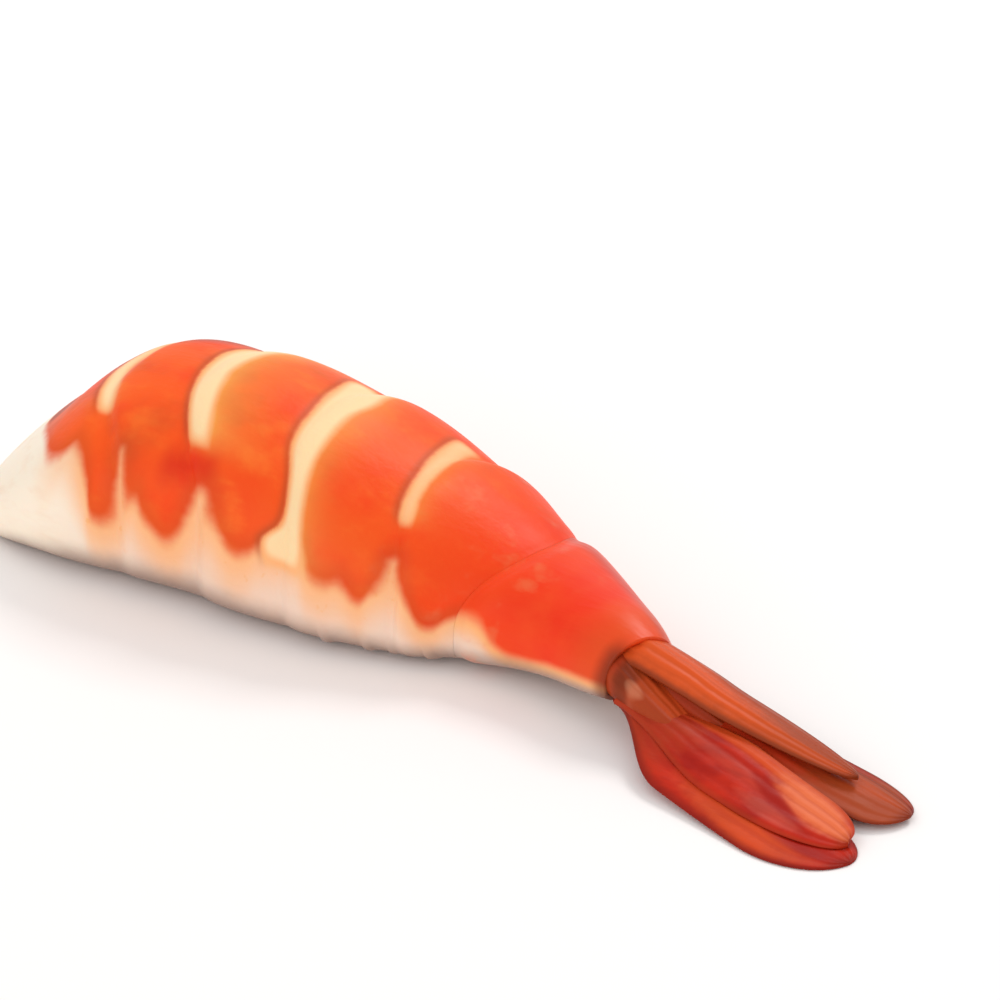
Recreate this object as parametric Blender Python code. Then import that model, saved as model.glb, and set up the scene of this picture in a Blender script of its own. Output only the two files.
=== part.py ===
"""A peeled tiger prawn with its tail on, lying belly down.

The meat of the first five segments is one soft solid, pale underneath and red on top.
The shell of the sixth segment is a sleeve over its narrow end, and carries the telson
and the two pairs of tail blades. The head end points to -X, and the tail to +X, turned
a little to -Y. Lengths along the body are measured from the cut head end.
"""
import math

import bmesh
import bpy

MM = 0.001

# Body: heights and half widths at stations along the back, in millimetres
STATIONS = (0, 6, 10, 14, 26, 38, 50, 62, 70, 80)
HEIGHTS = (4.8, 9.4, 13.8, 16.5, 18.7, 17.3, 14.1, 9.3, 7.3, 6.2)
HALF_WIDTHS = (10.8, 12.8, 13.9, 14.5, 14.0, 14.4, 12.4, 8.0, 5.7, 4.1)
SIDE_LEVEL = 0.28        # height of the widest line, as a share of the body's height
BACK_POWER = 2.2         # superellipse power of the back
BELLY_POWER = 3.5        # superellipse power of the lower edge
BELLY_CUT = 1.05         # how far the lower edge runs past the floor before it is cut flat

# Head end, where the meat is cut and rounded
END_LENGTH = 6.0
END_HEIGHT_SHARE = 0.3
END_WIDTH_SHARE = 0.6

# Centre line seen from above, and the lift of the tail end off the floor
START_HEADING = 2.8      # degrees
BODY_TURN = -7.3         # degrees over the body, growing with the square of the length
TAIL_TURN = -20.0        # degrees more, from the fifth segment on
TAIL_TURN_RANGE = (48, 72)
LIFT = 3.0
LIFT_RANGE = (50, 78)

# Segments: where each one starts on the back, and how far it starts nearer the tail at the side.
# The last entry is the end of the sixth segment.
SEGMENT_STARTS = (0, 13.0, 21.8, 34.8, 47.4, 61.0, 78.4)
SIDE_LEANS = (0, 6.8, 7.4, 4.6, 4.0, -2.4, 0.0)
LEAN_RANGE = (0.08, 0.62)     # share of the way from the ridge to the lower edge
SWELL = 0.8                   # rise of each segment over the groove in front of it
SWELL_PEAK = 0.22             # where in the segment the rise is highest
SWELL_FALL = 0.75             # share of the rise that is lost by the segment's end
HEAD_SWELL_FALL = 0.5         # the same for the first segment, which starts at full rise
SWELL_FADE = (0.62, 0.95)     # share of the way down where the rise dies out
GROOVE_WIDTH = 1.0            # half width of the groove between segments
GROOVE_DEPTH = 0.8            # share of the rise that the groove takes away
BELLY_GROOVE_DEPTH = 0.8      # groove along the middle of the belly
BELLY_GROOVE_REACH = 4.5
BELLY_GROOVE_FADE = (50, 60)

# Sixth segment: a shell sleeve over the narrow end of the meat
SHELL_START = SEGMENT_STARTS[5]
SHELL_END = SEGMENT_STARTS[6]
SHELL_WALL = 0.7
SHELL_RAISE = 0.35       # how far the shell stands out over the meat
SHELL_RELIEF = 0.6       # share of the meat's swell that the shell follows
SOCKET_END = 69.5
TONGUE_END = 68.2
TONGUE_TAPER = 1.2       # how much smaller all round the tongue's last ring is
GAP = 0.3                # clearance between neighbouring pieces
STEP = 0.1               # length of the step from the meat's skin down to the tongue
SHELL_CLOSE = 2.0        # length over which the shell rounds in to its end
SHELL_DRAW = 0.6         # how far it is drawn in there

# Tail fan: the floor under it, and the layers that lie on each other
FAN_START = 78.0
FAN_END = 109.0
FAN_ROOT_LEVEL = 4.6
FAN_POWER = 1.3          # how the fan's floor falls to its tips and to both sides
RIDGE_START = -5.0       # y of the fan's ridge at the fan's start
RIDGE_SLOPE = -0.07
NEAR_REACH = 15.0        # distance from the ridge at which the near side meets the floor
FAR_REACH = 11.0
LAYER = 1.15
LAYER_CLOSING = 0.4      # share of the layers' pitch lost at the tips
ROOT_EXTRA = 0.45        # more room between the layers at their thick roots
ROOT_RUN = 12.0
TILT_RANGE = (0.15, 0.5)  # share of a blade's length over which a tilted blade leans up
EDGE_THINNING = 0.6      # share of a blade's thickness lost at its edges
EDGE_RISE = 0.15         # how far a blade's lower face rises there, as a share of the thickness
RIB_WIDTH = 0.16         # half width of the rib along a blade, as a share of its reach
DOME_LEAD = 0.15         # how far before the root the dome over a blade begins
BLADE_END_WIDTH = 0.02   # width left at a blade's root end and tip, as a share

# Blades: root and tip seen from above. Each side has its reach from that line, where along the
# blade it is reached, and where its end starts to round in. Layers are counted from the floor.
BLADES = {
    "telson": {
        "root": (77.9, -5.6), "tip": (102.6, -6.4), "bend": 0.0, "root_share": 0.9,
        "left": (2.1, 0.1, 0.05), "right": (1.5, 0.1, 0.05),
        "layer": 2, "tilt": 0, "dome": 0.3, "thick": 1.0, "root_thick": 0.8, "rib": 0.4,
    },
    "uropod_inner_left": {
        "root": (77.0, -8.2), "tip": (107.0, -14.8), "bend": 0.0, "root_share": 0.35,
        "left": (3.3, 0.5, 0.8), "right": (4.2, 0.5, 0.6),
        "layer": 1, "tilt": 1, "dome": 0.25, "thick": 0.75, "root_thick": 0.1, "rib": 0.2,
    },
    "uropod_outer_left": {
        "root": (77.3, -9.0), "tip": (108.4, -16.8), "bend": 0.0, "root_share": 0.4,
        "left": (3.2, 0.3, 0.85), "right": (6.3, 0.36, 0.72),
        "layer": 0, "tilt": 0, "dome": 0.2, "thick": 0.75, "root_thick": 0.5, "rib": 0.2,
    },
    "uropod_inner_right": {
        "root": (78.3, -5.0), "tip": (109.0, -7.0), "bend": 0.0, "root_share": 0.4,
        "left": (2.6, 0.5, 0.7), "right": (4.0, 0.85, 0.86),
        "layer": 1, "tilt": 0, "dome": 0.25, "thick": 0.75, "root_thick": 0.1, "rib": 0.2,
    },
    "uropod_outer_right": {
        "root": (79.0, -3.2), "tip": (108.4, -5.9), "bend": 0.3, "root_share": 0.5,
        "left": (2.8, 0.4, 0.75), "right": (3.6, 0.4, 0.7),
        "layer": 0, "tilt": 0, "dome": 0.2, "thick": 0.75, "root_thick": 0.5, "rib": 0.2,
    },
}

# Mesh density
SECTION_SAMPLES = 48
RING_POINTS = 40
RING_STEP = 1.15
END_RINGS = 7
SOCKET_STEP = 1.5
BLADE_RINGS = 22
BLADE_POINTS = 9         # steps across each face of a blade, edge to edge

MEAT_COLOUR = (0.87, 0.23, 0.07)
MEAT_ROUGHNESS = 0.45
SHELL_COLOUR = (0.62, 0.06, 0.02)
SHELL_ROUGHNESS = 0.3

COLLECTION = "tiger_prawn"


def smoothstep(low, high, value):
    """Rises from 0 at low to 1 at high, level at both ends."""
    share = min(max((value - low) / (high - low), 0.0), 1.0)
    return share * share * (3.0 - 2.0 * share)


def curve_value(xs, ys, x):
    """Value at x of a smooth curve through the points (xs, ys)."""
    x = min(max(x, xs[0]), xs[-1])
    count = len(xs)
    slopes = []
    for k in range(count):
        before, after = max(k - 1, 0), min(k + 1, count - 1)
        slopes.append((ys[after] - ys[before]) / (xs[after] - xs[before]))
    k = max(j for j in range(count - 1) if xs[j] <= x)
    span = xs[k + 1] - xs[k]
    t = (x - xs[k]) / span
    return ((2 * t**3 - 3 * t**2 + 1) * ys[k] + (t**3 - 2 * t**2 + t) * span * slopes[k]
            + (3 * t**2 - 2 * t**3) * ys[k + 1] + (t**3 - t**2) * span * slopes[k + 1])


def heading(s):
    """Direction of the centre line at s, in radians from +X."""
    degrees = (START_HEADING + BODY_TURN * (max(s, 0.0) / STATIONS[-1]) ** 2
               + TAIL_TURN * smoothstep(*TAIL_TURN_RANGE, s))
    return math.radians(degrees)


def centre(s):
    """Point of the centre line at s, followed in short steps from the head end."""
    steps = max(int(abs(s)), 1)
    length = s / steps
    x = y = 0.0
    for k in range(steps):
        turn = heading((k + 0.5) * length)
        x += math.cos(turn) * length
        y += math.sin(turn) * length
    return x, y


def half_section(height, half_width):
    """Points of one half of a cross section, from the ridge to the middle of the belly."""
    side = SIDE_LEVEL * height
    points = []
    for k in range(SECTION_SAMPLES + 1):
        angle = math.pi / 2 * k / SECTION_SAMPLES
        points.append((half_width * math.sin(angle) ** (2 / BACK_POWER),
                       side + (height - side) * math.cos(angle) ** (2 / BACK_POWER)))
    for k in range(1, SECTION_SAMPLES + 1):
        angle = math.pi / 2 * (1 - k / SECTION_SAMPLES)
        drop = BELLY_CUT * math.cos(angle) ** (2 / BELLY_POWER)
        points.append((half_width * math.sin(angle) ** (2 / BELLY_POWER), side * max(1 - drop, 0.0)))
    return points


def spread(points, share):
    """Point, outward normal and arc length at a share of the way along a line of points."""
    lengths = [0.0]
    for (y0, z0), (y1, z1) in zip(points, points[1:]):
        lengths.append(lengths[-1] + math.hypot(y1 - y0, z1 - z0))
    target = share * lengths[-1]
    k = max(j for j in range(len(points) - 1) if lengths[j] <= target)
    run = max(lengths[k + 1] - lengths[k], 1e-9)
    t = (target - lengths[k]) / run
    y0, z0 = points[k]
    y1, z1 = points[k + 1]
    normal = (-(z1 - z0) / run, (y1 - y0) / run)
    return (y0 + t * (y1 - y0), z0 + t * (z1 - z0)), normal, target


def corner_length(points):
    """Arc length from the ridge down to where the section first meets the floor."""
    total = 0.0
    for (y0, z0), (y1, z1) in zip(points, points[1:]):
        total += math.hypot(y1 - y0, z1 - z0)
        if z1 < 1e-6:
            break
    return total


def body_size(s):
    """Height and half width of the body at s, with the rounded head end."""
    height = curve_value(STATIONS, HEIGHTS, s)
    half_width = curve_value(STATIONS, HALF_WIDTHS, s)
    if s < END_LENGTH:
        part = math.sqrt(max(1 - (1 - max(s, 0.0) / END_LENGTH) ** 2, 0.0))
        height *= END_HEIGHT_SHARE + (1 - END_HEIGHT_SHARE) * part
        half_width *= END_WIDTH_SHARE + (1 - END_WIDTH_SHARE) * part
    return height, half_width


def lean(start, down):
    """How far nearer the tail a line that starts at start on the back lies at a share down the side."""
    return curve_value(SEGMENT_STARTS, SIDE_LEANS, start) * smoothstep(*LEAN_RANGE, down)


def swell(start, down):
    """Rise of the skin: steep behind each groove, then falling gently to the next one."""
    edges = SEGMENT_STARTS
    k = max(j for j in range(len(edges) - 1) if edges[j] <= max(start, 0.0))
    share = (start - edges[k]) / (edges[k + 1] - edges[k])
    if k == 0:
        rise = 1.0 - HEAD_SWELL_FALL * smoothstep(SWELL_PEAK, 1.0, share)
    elif share < SWELL_PEAK:
        rise = math.sin(math.pi / 2 * share / SWELL_PEAK)
    else:
        rise = 1.0 - SWELL_FALL * smoothstep(SWELL_PEAK, 1.0, share)
    to_groove = min(abs(start - edge) for edge in edges[1:-1])
    rise *= 1.0 - GROOVE_DEPTH * math.exp(-(to_groove / GROOVE_WIDTH) ** 2)
    return SWELL * rise * (1.0 - smoothstep(*SWELL_FADE, down))


def belly_groove(s, y):
    """Depth of the groove along the belly at s and at y from its middle."""
    fade = smoothstep(0, END_LENGTH, s) * (1 - smoothstep(*BELLY_GROOVE_FADE, s))
    return BELLY_GROOVE_DEPTH * fade * (1 - smoothstep(0, BELLY_GROOVE_REACH, y))


def body_point(start, share, inset=0.0, relief=1.0):
    """Point of the skin: start is where its line begins on the back, share runs -1 to 1 round it."""
    way = abs(share)
    side = 1.0 if share >= 0 else -1.0
    points = half_section(*body_size(start))
    down = min(way * spread(points, 1.0)[2] / corner_length(points), 1.0)
    s = start + lean(start, down)
    points = half_section(*body_size(s))
    (y, z), (ny, nz), length = spread(points, way)
    offset = relief * swell(start, down) - inset
    y += ny * offset
    z += nz * offset
    if length > corner_length(points) and inset == 0.0:
        z = belly_groove(s, y)
    z = max(z + LIFT * smoothstep(*LIFT_RANGE, s), 0.0)
    x0, y0 = centre(s)
    turn = heading(s)
    return (x0 - math.sin(turn) * side * y, y0 + math.cos(turn) * side * y, z)


def ring(start, inset=0.0, relief=1.0):
    """Closed ring of skin points, from the belly's middle up one side, over the ridge and down."""
    return [body_point(start, 2 * k / RING_POINTS - 1, inset, relief) for k in range(RING_POINTS)]


def material(name, colour, roughness):
    """Plain coloured material."""
    made = bpy.data.materials.new(name)
    made.use_nodes = True
    shader = made.node_tree.nodes["Principled BSDF"]
    shader.inputs["Base Color"].default_value = (*colour, 1.0)
    shader.inputs["Roughness"].default_value = roughness
    return made


def loft(name, rings, coat, collection):
    """Closed solid through rings of equal length, each end closed by a fan to its middle."""
    mesh = bpy.data.meshes.new(name)
    body = bmesh.new()
    rows = [[body.verts.new([v * MM for v in point]) for point in points] for points in rings]
    count = len(rings[0])
    for row, following in zip(rows, rows[1:]):
        for k in range(count):
            after = (k + 1) % count
            body.faces.new((row[k], row[after], following[after], following[k]))
    for row in (rows[0], rows[-1]):
        middle = body.verts.new([sum(v.co[axis] for v in row) / count for axis in range(3)])
        for k in range(count):
            body.faces.new((middle, row[k], row[(k + 1) % count]))
    bmesh.ops.recalc_face_normals(body, faces=body.faces)
    bmesh.ops.triangulate(body, faces=body.faces)
    body.to_mesh(mesh)
    body.free()
    mesh.shade_smooth()
    mesh.materials.append(coat)
    made = bpy.data.objects.new(name, mesh)
    collection.objects.link(made)
    return made


def along(first, last, step):
    """Evenly spaced values from first to last, about one step apart."""
    count = max(round((last - first) / step), 1)
    return [first + (last - first) * k / count for k in range(count + 1)]


def make_meat(coat, collection):
    """Meat of five segments, with a rounded cut end and a tongue that fills the shell's socket."""
    rounded = [END_LENGTH * (1 - math.cos(math.pi / 2 * k / END_RINGS)) for k in range(END_RINGS + 1)]
    rings = [ring(start) for start in rounded]
    rings += [ring(start) for start in along(END_LENGTH, SHELL_START - GAP - STEP, RING_STEP)[1:]]
    depth = SHELL_WALL + GAP - SHELL_RAISE
    tongue = along(SHELL_START - GAP, TONGUE_END - TONGUE_TAPER, SOCKET_STEP)
    rings += [ring(start, inset=depth, relief=0.0) for start in tongue]
    rings.append(ring(TONGUE_END, inset=depth + TONGUE_TAPER, relief=0.0))
    return loft("meat", rings, coat, collection)


def make_tail_segment(coat, collection):
    """Shell of the sixth segment: outside from its end to the lip, then the socket back inside."""
    rings = []
    for start in reversed(along(SHELL_START, SHELL_END, RING_STEP)):
        close = smoothstep(SHELL_END - SHELL_CLOSE, SHELL_END, start)
        rings.append(ring(start, inset=SHELL_DRAW * close**2 - SHELL_RAISE, relief=SHELL_RELIEF))
    for start in along(SHELL_START, SOCKET_END, SOCKET_STEP):
        rings.append(ring(start, inset=SHELL_WALL - SHELL_RAISE, relief=0.0))
    return loft("tail_segment", rings, coat, collection)


def fan_share(x):
    """How far x is from the fan's roots to its tips, 0 to 1."""
    return min(max((x - FAN_START) / (FAN_END - FAN_START), 0.0), 1.0)


def fan_level(x, y):
    """Height of the lowest layer of the tail fan over the floor: a ridge that falls to both sides."""
    aside = y - (RIDGE_START + RIDGE_SLOPE * (x - FAN_START))
    reach = FAR_REACH if aside > 0 else NEAR_REACH
    fall = max(1 - (abs(aside) / reach) ** FAN_POWER, 0.0)
    return FAN_ROOT_LEVEL * (1 - fan_share(x)) ** FAN_POWER * fall


def blade_ring(spec, u):
    """Ring across a blade at the share u of its length: the top face out, the bottom face back."""
    (x0, y0), (x1, y1) = spec["root"], spec["tip"]
    length = math.hypot(x1 - x0, y1 - y0)
    ex, ey = (x1 - x0) / length, (y1 - y0) / length
    bend = spec["bend"] * math.sin(math.pi * u)
    cx = x0 + (x1 - x0) * u - ey * bend
    cy = y0 + (y1 - y0) * u + ex * bend
    near_root = 1 - smoothstep(0, ROOT_RUN, u * length)
    top, bottom = [], []
    for k in range(BLADE_POINTS + 1):
        v = 2 * k / BLADE_POINTS - 1
        reach, widest, blunt = spec["left"] if v > 0 else spec["right"]
        grow = spec["root_share"] + (1 - spec["root_share"]) * smoothstep(0.0, widest, u)
        past = max((u - blunt) / (1 - blunt), 0.0)
        end = math.sqrt(max(1 - past**2, BLADE_END_WIDTH**2))
        side = v * reach * grow * end
        x = cx - ey * side
        y = cy + ex * side
        closing = 1 - LAYER_CLOSING * fan_share(x)
        lift = spec["tilt"] * (v + 1) / 2 * smoothstep(*TILT_RANGE, u)
        level = fan_level(x, y) + (spec["layer"] + lift) * (LAYER + ROOT_EXTRA * near_root) * closing
        level += spec["dome"] * (1 - v * v) * end * math.sin(math.pi * min(u + DOME_LEAD, 1.0))
        thick = (spec["thick"] + spec["root_thick"] * near_root) * closing
        edge = abs(v) ** 3
        rib = spec["rib"] * math.exp(-(v / RIB_WIDTH) ** 2) * (1 - u)
        top.append((x, y, level + thick * (1 - EDGE_THINNING * edge) + rib))
        bottom.append((x, y, level + EDGE_RISE * thick * edge))
    return top + bottom[::-1]


def make_blade(name, spec, coat, collection):
    """One blade of the tail fan."""
    shares = [0.5 - 0.5 * math.cos(math.pi * k / BLADE_RINGS) for k in range(BLADE_RINGS + 1)]
    return loft(name, [blade_ring(spec, u) for u in shares], coat, collection)


def centre_on_floor(objects):
    """Moves the prawn so that the middle of its box's floor is the origin."""
    points = [vertex.co for made in objects for vertex in made.data.vertices]
    low = [min(point[axis] for point in points) for axis in range(3)]
    high = [max(point[axis] for point in points) for axis in range(3)]
    shift = ((low[0] + high[0]) / 2, (low[1] + high[1]) / 2, low[2])
    for made in objects:
        for vertex in made.data.vertices:
            vertex.co = [vertex.co[axis] - shift[axis] for axis in range(3)]


def main():
    """Makes the prawn."""
    for old in list(bpy.data.objects):
        bpy.data.objects.remove(old, do_unlink=True)
    collection = bpy.data.collections.new(COLLECTION)
    bpy.context.scene.collection.children.link(collection)
    meat = material("meat", MEAT_COLOUR, MEAT_ROUGHNESS)
    shell = material("tail_shell", SHELL_COLOUR, SHELL_ROUGHNESS)
    made = [make_meat(meat, collection), make_tail_segment(shell, collection)]
    made += [make_blade(name, spec, shell, collection) for name, spec in BLADES.items()]
    centre_on_floor(made)


main()
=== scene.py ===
"""Looks of a peeled tiger prawn with its tail on: finer surfaces, materials, light and camera.

Lengths are in millimetres and are turned into metres when a mesh is made. A place on the body
is given by its length along the centre line and by its share of the way down the side: 0 on
the ridge, 1 at the lower corner, negative on the far side.
"""
import math

import bpy
import numpy as np
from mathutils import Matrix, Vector

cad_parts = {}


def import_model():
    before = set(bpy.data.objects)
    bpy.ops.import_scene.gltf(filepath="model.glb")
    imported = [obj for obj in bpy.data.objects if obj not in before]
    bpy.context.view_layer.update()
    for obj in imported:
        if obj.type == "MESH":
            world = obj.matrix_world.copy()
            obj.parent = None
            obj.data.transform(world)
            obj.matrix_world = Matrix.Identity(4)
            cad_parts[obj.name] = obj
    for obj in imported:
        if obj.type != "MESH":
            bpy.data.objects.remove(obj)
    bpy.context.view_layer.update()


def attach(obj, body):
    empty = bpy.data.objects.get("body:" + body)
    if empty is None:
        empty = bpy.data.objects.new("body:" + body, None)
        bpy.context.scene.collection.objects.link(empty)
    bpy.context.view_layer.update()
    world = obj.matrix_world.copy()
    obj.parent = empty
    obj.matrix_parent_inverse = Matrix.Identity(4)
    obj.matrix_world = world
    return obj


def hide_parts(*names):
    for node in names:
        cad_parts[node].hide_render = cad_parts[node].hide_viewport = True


MM = 0.001

# Body, as in the part's source: heights and half widths at stations along the back
STATIONS = (0, 6, 10, 14, 26, 38, 50, 62, 70, 80)
HEIGHTS = (4.8, 9.4, 13.8, 16.5, 18.7, 17.3, 14.1, 9.3, 7.3, 6.2)
HALF_WIDTHS = (10.8, 12.8, 13.9, 14.5, 14.0, 14.4, 12.4, 8.0, 5.7, 4.1)
SIDE_LEVEL = 0.28        # height of the widest line, as a share of the body's height
BACK_POWER = 2.2         # superellipse power of the back
BELLY_POWER = 3.5        # superellipse power of the lower edge
BELLY_CUT = 1.05         # how far the lower edge runs past the floor before it is cut flat
END_LENGTH = 6.0         # rounded head end
END_HEIGHT_SHARE = 0.3
END_WIDTH_SHARE = 0.6

# Centre line seen from above, and the lift of the tail end off the floor
START_HEADING = 2.8      # degrees
BODY_TURN = -7.3         # degrees over the body, growing with the square of the length
TAIL_TURN = -20.0        # degrees more, from the fifth segment on
TAIL_TURN_RANGE = (48, 72)
LIFT = 3.0
LIFT_RANGE = (50, 78)

# Segments: where each one starts on the back, and how far it starts nearer the tail at the side.
# The grooves between them are narrower and deeper than in the part's source.
SEGMENT_STARTS = (0, 13.0, 21.8, 34.8, 47.4, 61.0, 78.4)
SIDE_LEANS = (0, 6.8, 7.4, 4.6, 4.0, -2.4, 0.0)
LEAN_RANGE = (0.08, 0.62)     # share of the way from the ridge to the lower edge
SWELL = 0.8                   # rise of each segment over the groove in front of it
SWELL_PEAK = 0.22             # where in the segment the rise is highest
SWELL_FALL = 0.75             # share of the rise that is lost by the segment's end
HEAD_SWELL_FALL = 0.5         # the same for the first segment, which starts at full rise
SWELL_FADE = (0.62, 0.95)     # share of the way down where the rise dies out
GROOVE_WIDTH = 0.8            # half width of the groove between segments
GROOVE_DEPTH = 0.9            # share of the rise that the groove takes away
BELLY_GROOVE_DEPTH = 0.8      # groove along the middle of the belly
BELLY_GROOVE_REACH = 4.5
BELLY_GROOVE_FADE = (50, 60)

# Sampling of the body's sections and centre line
SECTION_SAMPLES = 48
LINE_STEP = 0.05         # step of the centre line's table
LINE_EXTRA = 5.0         # how far the table runs past the last station
FLAT = 1e-6              # heights below this count as on the floor
NARROW = 1e-9            # least run between two samples

# The part's origin, measured from the head end's middle
ORIGIN = (54.327, -2.357, 0.0)

# Shell of the sixth segment
SHELL_START = SEGMENT_STARTS[5]
SHELL_END = SEGMENT_STARTS[6]
SHELL_RAISE = 0.35       # how far the shell stands out over the meat
SHELL_LIP = 0.05         # how far the shell's front edge stands out
SHELL_LIP_RUN = 2.5
SHELL_CLOSE = 5.0        # run in which it thins toward its rear rim
SHELL_DRAW = 0.65        # how far it is drawn in there
SHELL_CUP = ((78.3, -0.75), (77.2, -1.0), (75.8, -1.2))   # inside of the rear rim: length, rise
SHELL_RELIEF = 0.6       # share of the meat's swell that the shell follows
SHELL_OVERLAP = 3.0      # how far the meat runs on under the shell
TONGUE_RINGS = 5
TONGUE_DROP = 0.25       # how far the meat steps down there, and how much further by its end
TONGUE_TAPER = 0.4

# Tail fan, a little finer than in the part's source
FAN_START = 78.0
FAN_END = 109.0
FAN_ROOT_LEVEL = 4.6
FAN_POWER = 1.3          # how the fan's floor falls to its tips and to both sides
RIDGE_START = -5.0       # y of the fan's ridge at the fan's start
RIDGE_SLOPE = -0.07
NEAR_REACH = 15.0        # distance from the ridge at which the near side meets the floor
FAR_REACH = 11.0
LAYER = 1.15             # height from one layer of blades to the next
LAYER_CLOSING = 0.4      # share of it that is lost at the tips
ROOT_EXTRA = 0.45        # more room between the layers at their thick roots
ROOT_RUN = 12.0
ROOT_SINK = 0.85         # how far the blades' roots sink below their layer
ROOT_SINK_RUN = 9.0
TILT_RANGE = (0.15, 0.5)  # share of a blade's length over which a tilted blade leans up
EDGE_THINNING = 0.6      # share of a blade's thickness lost at its edges
EDGE_POWER = 3
EDGE_RISE = 0.15         # how far a blade's lower face rises there, as a share of the thickness
RIB_WIDTH = 0.16         # half width of the rib along a blade, as a share of its reach
DOME_LEAD = 0.15         # how far before the root the dome over a blade begins
BLADE_END_WIDTH = 0.02   # width left at a blade's root end and tip, as a share

# Blades: root and tip seen from above. Each side has its reach from that line, where along the
# blade it is reached, and where its end starts to round in. Layers are counted from the floor.
BLADES = {
    "telson": {
        "root": (76.0, -4.9), "tip": (102.6, -6.4), "bend": 0.0, "root_share": 1.0,
        "left": (3.5, 0.1, 0.05), "right": (2.6, 0.1, 0.05),
        "layer": 2.25, "tilt": 0, "dome": 0.3, "thick": 0.75, "root_thick": 0.5, "rib": 0.15,
    },
    "uropod_inner_left": {
        "root": (77.0, -8.2), "tip": (107.0, -14.8), "bend": 0.0, "root_share": 0.35,
        "left": (3.3, 0.5, 0.8), "right": (4.2, 0.5, 0.6),
        "layer": 0.62, "tilt": 1, "dome": 0.2, "thick": 0.55, "root_thick": 0.3, "rib": 0.1,
    },
    "uropod_outer_left": {
        "root": (76.2, -7.3), "tip": (108.4, -16.8), "bend": 0.0, "root_share": 0.2,
        "left": (3.2, 0.3, 0.85), "right": (6.3, 0.36, 0.72),
        "layer": 0, "tilt": 0, "dome": 0.2, "thick": 0.65, "root_thick": 0.5, "rib": 0.1,
    },
    "uropod_inner_right": {
        "root": (78.3, -5.0), "tip": (109.0, -7.0), "bend": 0.0, "root_share": 0.4,
        "left": (2.6, 0.5, 0.7), "right": (4.0, 0.85, 0.86),
        "layer": 0.8, "tilt": 0, "dome": 0.2, "thick": 0.6, "root_thick": 0.2, "rib": 0.12,
    },
    "uropod_outer_right": {
        "root": (78.0, -3.2), "tip": (108.4, -5.9), "bend": 0.3, "root_share": 0.3,
        "left": (2.8, 0.4, 0.75), "right": (3.6, 0.4, 0.7),
        "layer": 0, "tilt": 0, "dome": 0.2, "thick": 0.65, "root_thick": 0.5, "rib": 0.1,
    },
}

# Short pieces that carry the blades, between the last shell and the fan: half widths, lower and
# upper faces at root and tip, and the shares of the length that round in at both ends
BASES = {
    "fan_base_left": {
        "root": (75.2, -6.6), "tip": (87.0, -9.7), "widths": (2.4, 2.7),
        "low": (3.4, 2.2), "high": (8.2, 3.5), "rounding": (0.05, 0.9),
    },
    "fan_base_right": {
        "root": (76.0, -4.2), "tip": (89.5, -6.6), "widths": (2.1, 2.4),
        "low": (3.4, 2.0), "high": (8.2, 4.2), "rounding": (0.05, 0.6),
    },
}
BASE_POWER = 2.4         # superellipse power of their sections
BASE_RINGS = 36
BASE_POINTS = 56

# Stumps of the swimming legs along the belly's edges, made of waves: length of each, and its shift
STUMP_RANGE = (42.0, 60.0)
STUMP_FADE = 2.0
STUMP_HEIGHT = 0.6
STUMP_WAVES = ((2.3, 0.0), (3.7, 1.3))
STUMP_PLACE = 0.83       # share of the way down the side
STUMP_WIDTH = 0.06

# Mesh density
ROUND_POINTS = 264
ALONG_STEP = 0.18
END_RINGS = 26
BLADE_RINGS = 90
BLADE_POINTS = 48

# Cream bands: their two edges as (share down the side, length), the shares where they end, and
# the strength and run of the yellow glow behind them
BANDS = (
    {"head": ((-0.34, 13.6), (-0.2, 12.0), (0.0, 11.2), (0.15, 12.2), (0.23, 13.4), (0.29, 14.4)),
     "tail": ((-0.34, 14.8), (-0.2, 13.4), (0.0, 13.2), (0.14, 14.3), (0.21, 15.1), (0.29, 16.1)),
     "ends": (-0.4, 0.265), "glow": 0.25, "run": 1.2},
    {"head": ((-0.38, 23.6), (-0.18, 21.2), (0.0, 21.4), (0.12, 22.5), (0.21, 23.8), (0.34, 26.2)),
     "tail": ((-0.38, 28.2), (-0.2, 26.2), (0.0, 25.1), (0.09, 25.6), (0.18, 26.5), (0.34, 28.6)),
     "ends": (-0.42, 0.325), "glow": 1.0, "run": 2.6},
    {"head": ((-0.45, 35.8), (-0.3, 33.4), (-0.14, 33.9), (0.0, 34.4), (0.18, 35.3), (0.31, 37.3),
              (0.4, 38.2), (0.46, 38.2), (0.52, 37.0), (0.6, 37.8)),
     "tail": ((-0.45, 39.4), (-0.25, 38.4), (-0.12, 38.9), (0.0, 38.4), (0.13, 38.7), (0.26, 39.3),
              (0.39, 40.5), (0.45, 41.1), (0.52, 41.8), (0.6, 42.2)),
     "ends": (-0.3, 0.585), "glow": 0.7, "run": 1.7},
    {"head": ((-0.4, 46.8), (-0.29, 45.8), (-0.15, 46.3), (0.0, 46.9), (0.19, 48.0), (0.34, 49.6)),
     "tail": ((-0.4, 48.9), (-0.25, 48.1), (-0.14, 48.4), (0.0, 48.7), (0.16, 49.5), (0.34, 51.0)),
     "ends": (-0.3, 0.285), "glow": 0.5, "run": 1.5},
)
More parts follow.
